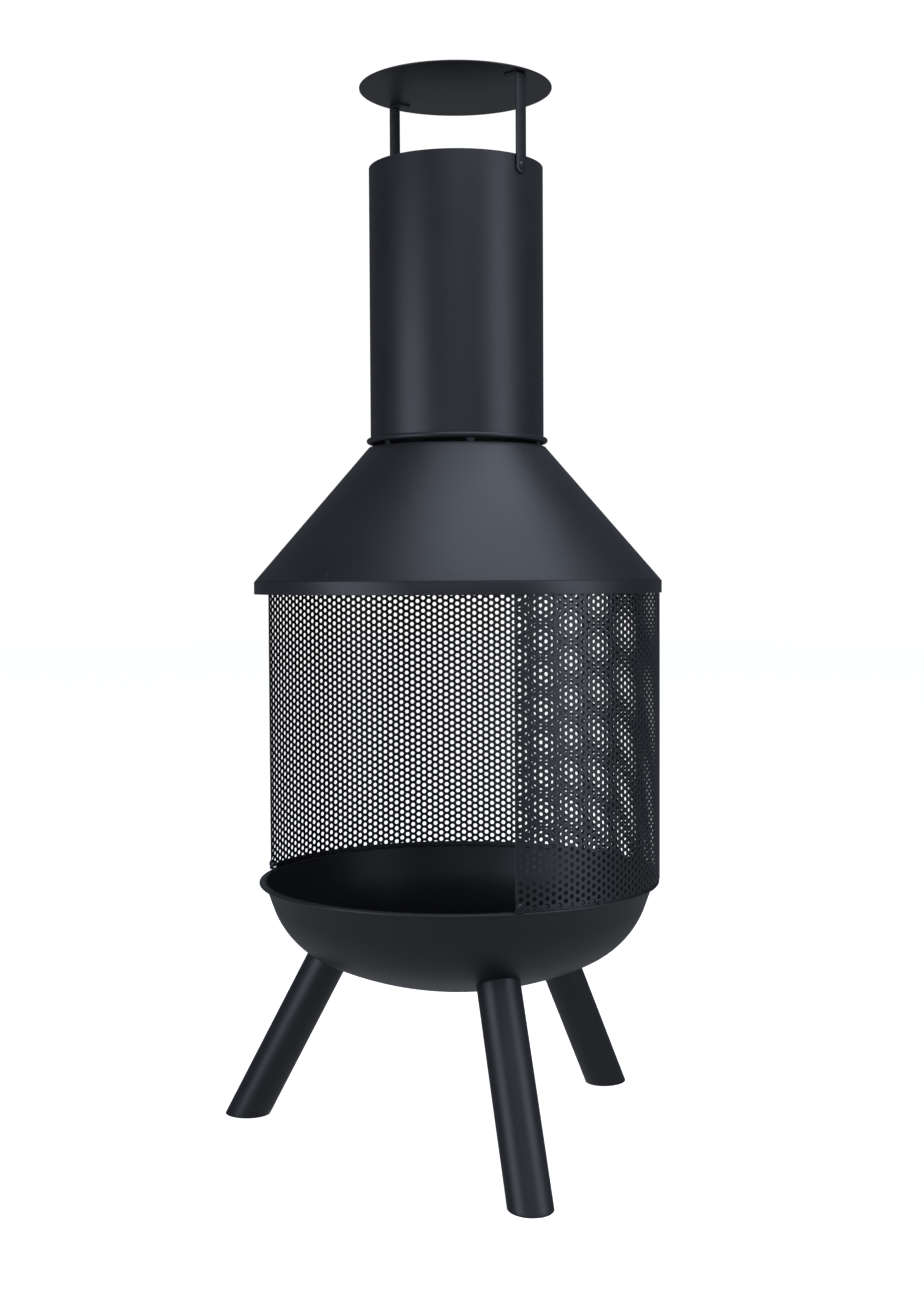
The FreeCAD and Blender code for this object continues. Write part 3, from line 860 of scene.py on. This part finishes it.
CLIP_OFFSET = math.degrees((CLIP_WIDTH / 2) / SCREEN_R)
CLIP_ANGLES = {"right": SCREEN_FIRST + CLIP_OFFSET, "left": -SCREEN_FIRST - CLIP_OFFSET}
CLIP_OUT_R = SCREEN_R + GAP + CLIP_SHEET
CLIP_SCREW_Z = RIM_Z + CLIP_SCREW_UP


def corner_clips():
    screws = []
    nuts = []
    half = M4["nut"] / math.sqrt(3.0)
    nut_seat_r = math.sqrt(SCREEN_IN_R ** 2 - half ** 2) - GAP
    for side, angle in CLIP_ANGLES.items():
        name = "screen_corner_clip_" + side
        shape = sector(rounded([
            (SCREEN_R + GAP, RIM_Z + CLIP_SHEET, 0),
            (SCREEN_R - CLIP_REACH, RIM_Z + CLIP_SHEET, 0),
            (SCREEN_R - CLIP_REACH, RIM_Z, 0),
            (CLIP_OUT_R, RIM_Z, 0.0008),
            (CLIP_OUT_R, RIM_Z + CLIP_HEIGHT, 0),
            (SCREEN_R + GAP, RIM_Z + CLIP_HEIGHT, 0),
        ]), angle, CLIP_WIDTH, SCREEN_R)
        soften(steel(name + "_fine", shape, name), 0.0002)
        screws.append(button_screw(M4, point(CLIP_OUT_R, angle, CLIP_SCREW_Z), outward(angle), 0.008))
        nuts.append(hexagon_nut(M4, point(nut_seat_r, angle, CLIP_SCREW_Z), -outward(angle)))
    piece("corner_clip_screws_fine", joined(screws), DARK_STEEL, "fastener", "corner_clip_screws")
    piece("corner_clip_nuts_fine", joined(nuts), DARK_STEEL, "fastener", "corner_clip_nuts")


# ---- Legs ---------------------------------------------------------------------------------------

LEG_FOOT_RADIUS = LEG_FOOT_HIGH - LEG_R / math.cos(LEG_LEAN)


def leg_line(radius, turn, angle):
    """A line along a leg's tube: where it meets the floor, and its upward direction."""
    out = outward(angle)
    across = sideways(angle)
    along = (-out * math.sin(LEG_LEAN) + Vector((0, 0, math.cos(LEG_LEAN)))).normalized()
    square = out * math.cos(LEG_LEAN) + Vector((0, 0, math.sin(LEG_LEAN)))
    start = out * LEG_FOOT_RADIUS + across * (radius * math.cos(turn)) + square * (radius * math.sin(turn))
    return start - along * (start.z / along.z), along


def up_to(line, height):
    start, along = line
    return start + along * ((height - start.z) / along.z)


def up_to_bowl(line, gap):
    """Point of a line that is a small gap under the bowl's outside."""
    low = 0.1
    high = RIM_Z
    for _ in range(40):
        middle = (low + high) / 2
        here = up_to(line, middle)
        if here.z < bowl_outside(math.hypot(here.x, here.y)) - gap:
            low = middle
        else:
            high = middle
    return up_to(line, low)


def leg(name, angle):
    """Tube with a flat cut at the floor and a mitre that follows the bowl."""
    steps = 72
    edge = EASE
    outer = [leg_line(LEG_R, 2 * math.pi * k / steps, angle) for k in range(steps)]
    eased = [leg_line(LEG_R - edge, 2 * math.pi * k / steps, angle) for k in range(steps)]
    bore = [leg_line(LEG_R - LEG_WALL, 2 * math.pi * k / steps, angle) for k in range(steps)]
    rings = [
        [up_to(line, GLIDE) for line in bore],
        [up_to(line, GLIDE) for line in eased],
        [up_to(line, GLIDE + edge) for line in outer],
        [up_to(line, GLIDE + 0.01) for line in outer],
        [up_to(line, 0.1) for line in outer],
        [up_to_bowl(line, LEG_GAP) for line in outer],
        [up_to_bowl(line, LEG_GAP) for line in bore],
    ]
    steel(name + "_fine", skin(rings, ring_round=True), name)


def glide(name, angle):
    """Plastic glide: a flange under the cut end of the tube, and a plug inside it."""
    steps = 72
    edge = EASE
    rings = []
    for radius, height in (
        (LEG_R - edge, 0.0),
        (LEG_R, edge),
        (LEG_R, GLIDE - edge),
        (LEG_R - edge, GLIDE),
        (LEG_R - LEG_WALL - GAP, GLIDE),
        (LEG_R - LEG_WALL - GAP, GLIDE + GLIDE_PLUG),
    ):
        lines = [leg_line(radius, 2 * math.pi * k / steps, angle) for k in range(steps)]
        rings.append([up_to(line, height) for line in lines])
    piece(name + "_fine", skin(rings), BLACK_PLASTIC, "plastic", name)


def legs():
    for place, angle in LEG_ANGLES.items():
        leg("leg_" + place, angle)
        glide("foot_plug_" + place, angle)


# ---- CAD nodes that stay ------------------------------------------------------------------------


def dress(node, material):
    """Gives a CAD node that stays a better material."""
    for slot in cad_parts[node].material_slots:
        slot.material = material


def kept_nodes():
    for node in ("leg_washers", "leg_bolts"):
        dress(node, DARK_STEEL)
    dress("screen_top_clips", POWDER_COAT)
    for place in LEG_ANGLES:
        dress("leg_end_plate_" + place, POWDER_COAT)


# ---- Camera, floor and lights -------------------------------------------------------------------


def camera():
    lens = bpy.data.cameras.new("camera")
    lens.lens = CAMERA_LENS
    lens.sensor_width = 36.0
    made = bpy.data.objects.new("camera", lens)
    bpy.context.scene.collection.objects.link(made)
    aim = Matrix.Rotation(math.radians(CAMERA_ANGLE + CAMERA_YAW), 4, "Z")
    aim = aim @ Matrix.Rotation(math.radians(90.0 - CAMERA_PITCH), 4, "X")
    aim = aim @ Matrix.Rotation(math.radians(CAMERA_ROLL), 4, "Z")
    place = point(CAMERA_DISTANCE, CAMERA_ANGLE, CAMERA_HEIGHT)
    made.matrix_world = Matrix.Translation(place) @ aim
    bpy.context.scene.camera = made


def softbox(name, angle, distance, height, width, tall, watts, tilt):
    """Area light that faces the middle of the object, at an angle about the axis."""
    lamp = bpy.data.lights.new(name, "AREA")
    lamp.shape = "RECTANGLE"
    lamp.size = width
    lamp.size_y = tall
    lamp.energy = watts
    lamp.color = LIGHT_COLOUR
    made = bpy.data.objects.new(name, lamp)
    bpy.context.scene.collection.objects.link(made)
    place = point(distance, angle, height)
    turn = (STUDIO_AIM - place).to_track_quat("-Z", "Y").to_matrix().to_4x4()
    made.matrix_world = Matrix.Translation(place) @ turn @ Matrix.Rotation(math.radians(tilt), 4, "Z")
    made.visible_camera = False


def studio_world():
    """Pure white behind the object. Its reflections see a dim room with a paler floor."""
    world = bpy.data.worlds.new("studio")
    bpy.context.scene.world = world
    world.use_nodes = True
    tree = world.node_tree
    tree.nodes.clear()
    path = tree.nodes.new("ShaderNodeLightPath")
    way = tree.nodes.new("ShaderNodeTexCoord")
    split = tree.nodes.new("ShaderNodeSeparateXYZ")
    rise = tree.nodes.new("ShaderNodeMapRange")
    rise.inputs["From Min"].default_value = -1.0
    ramp = tree.nodes.new("ShaderNodeValToRGB")
    ramp.color_ramp.elements[0].position = 0.12
    ramp.color_ramp.elements[0].color = (*ROOM_BELOW, 1)
    ramp.color_ramp.elements[1].position = 0.45
    ramp.color_ramp.elements[1].color = (*ROOM_ABOVE, 1)
    dim = tree.nodes.new("ShaderNodeBackground")
    bright = tree.nodes.new("ShaderNodeBackground")
    bright.inputs["Color"].default_value = (1, 1, 1, 1)
    bright.inputs["Strength"].default_value = BACKGROUND_STRENGTH
    mix = tree.nodes.new("ShaderNodeMixShader")
    out = tree.nodes.new("ShaderNodeOutputWorld")
    tree.links.new(way.outputs["Generated"], split.inputs["Vector"])
    tree.links.new(split.outputs["Z"], rise.inputs["Value"])
    tree.links.new(rise.outputs["Result"], ramp.inputs["Fac"])
    tree.links.new(ramp.outputs["Color"], dim.inputs["Color"])
    tree.links.new(path.outputs["Is Camera Ray"], mix.inputs["Fac"])
    tree.links.new(dim.outputs["Background"], mix.inputs[1])
    tree.links.new(bright.outputs["Background"], mix.inputs[2])
    tree.links.new(mix.outputs["Shader"], out.inputs["Surface"])


def floor():
    """Plain white floor, lit enough from within to lose its far edge against the background."""
    material, tree = new_material("floor_white")
    shader = tree.nodes["Principled BSDF"]
    shader.inputs["Base Color"].default_value = (0.85, 0.85, 0.85, 1)
    shader.inputs["Roughness"].default_value = 0.9
    shader.inputs["Specular IOR Level"].default_value = 0.0
    shader.inputs["Emission Color"].default_value = (1, 1, 1, 1)
    shader.inputs["Emission Strength"].default_value = FLOOR_GLOW
    mesh = bpy.data.meshes.new("floor")
    reach = FLOOR_REACH
    corners = [(-reach, -reach, 0), (reach, -reach, 0), (reach, reach, 0), (-reach, reach, 0)]
    mesh.from_pydata(corners, [], [(0, 1, 2, 3)])
    mesh.materials.append(material)
    made = bpy.data.objects.new("floor", mesh)
    bpy.context.scene.collection.objects.link(made)
    made.visible_glossy = False
    made.visible_diffuse = False


def studio():
    for name, angle, distance, height, width, tall, watts, tilt in SOFTBOXES:
        softbox(name, CAMERA_ANGLE + angle, distance, height, width, tall, watts, tilt)
    studio_world()
    floor()
    bpy.context.scene.view_settings.view_transform = "Standard"


# ---- Scene --------------------------------------------------------------------------------------

camera()
studio()
hood_cone()
hood_skirt()
chimney_tube()
rain_cap()
for side, angle in STRAP_ANGLES.items():
    cap_strap("cap_bracket_" + side, angle)
cap_fasteners()
fire_bowl()
spark_screen()
screen_foot_ring()
corner_clips()
legs()
kept_nodes()
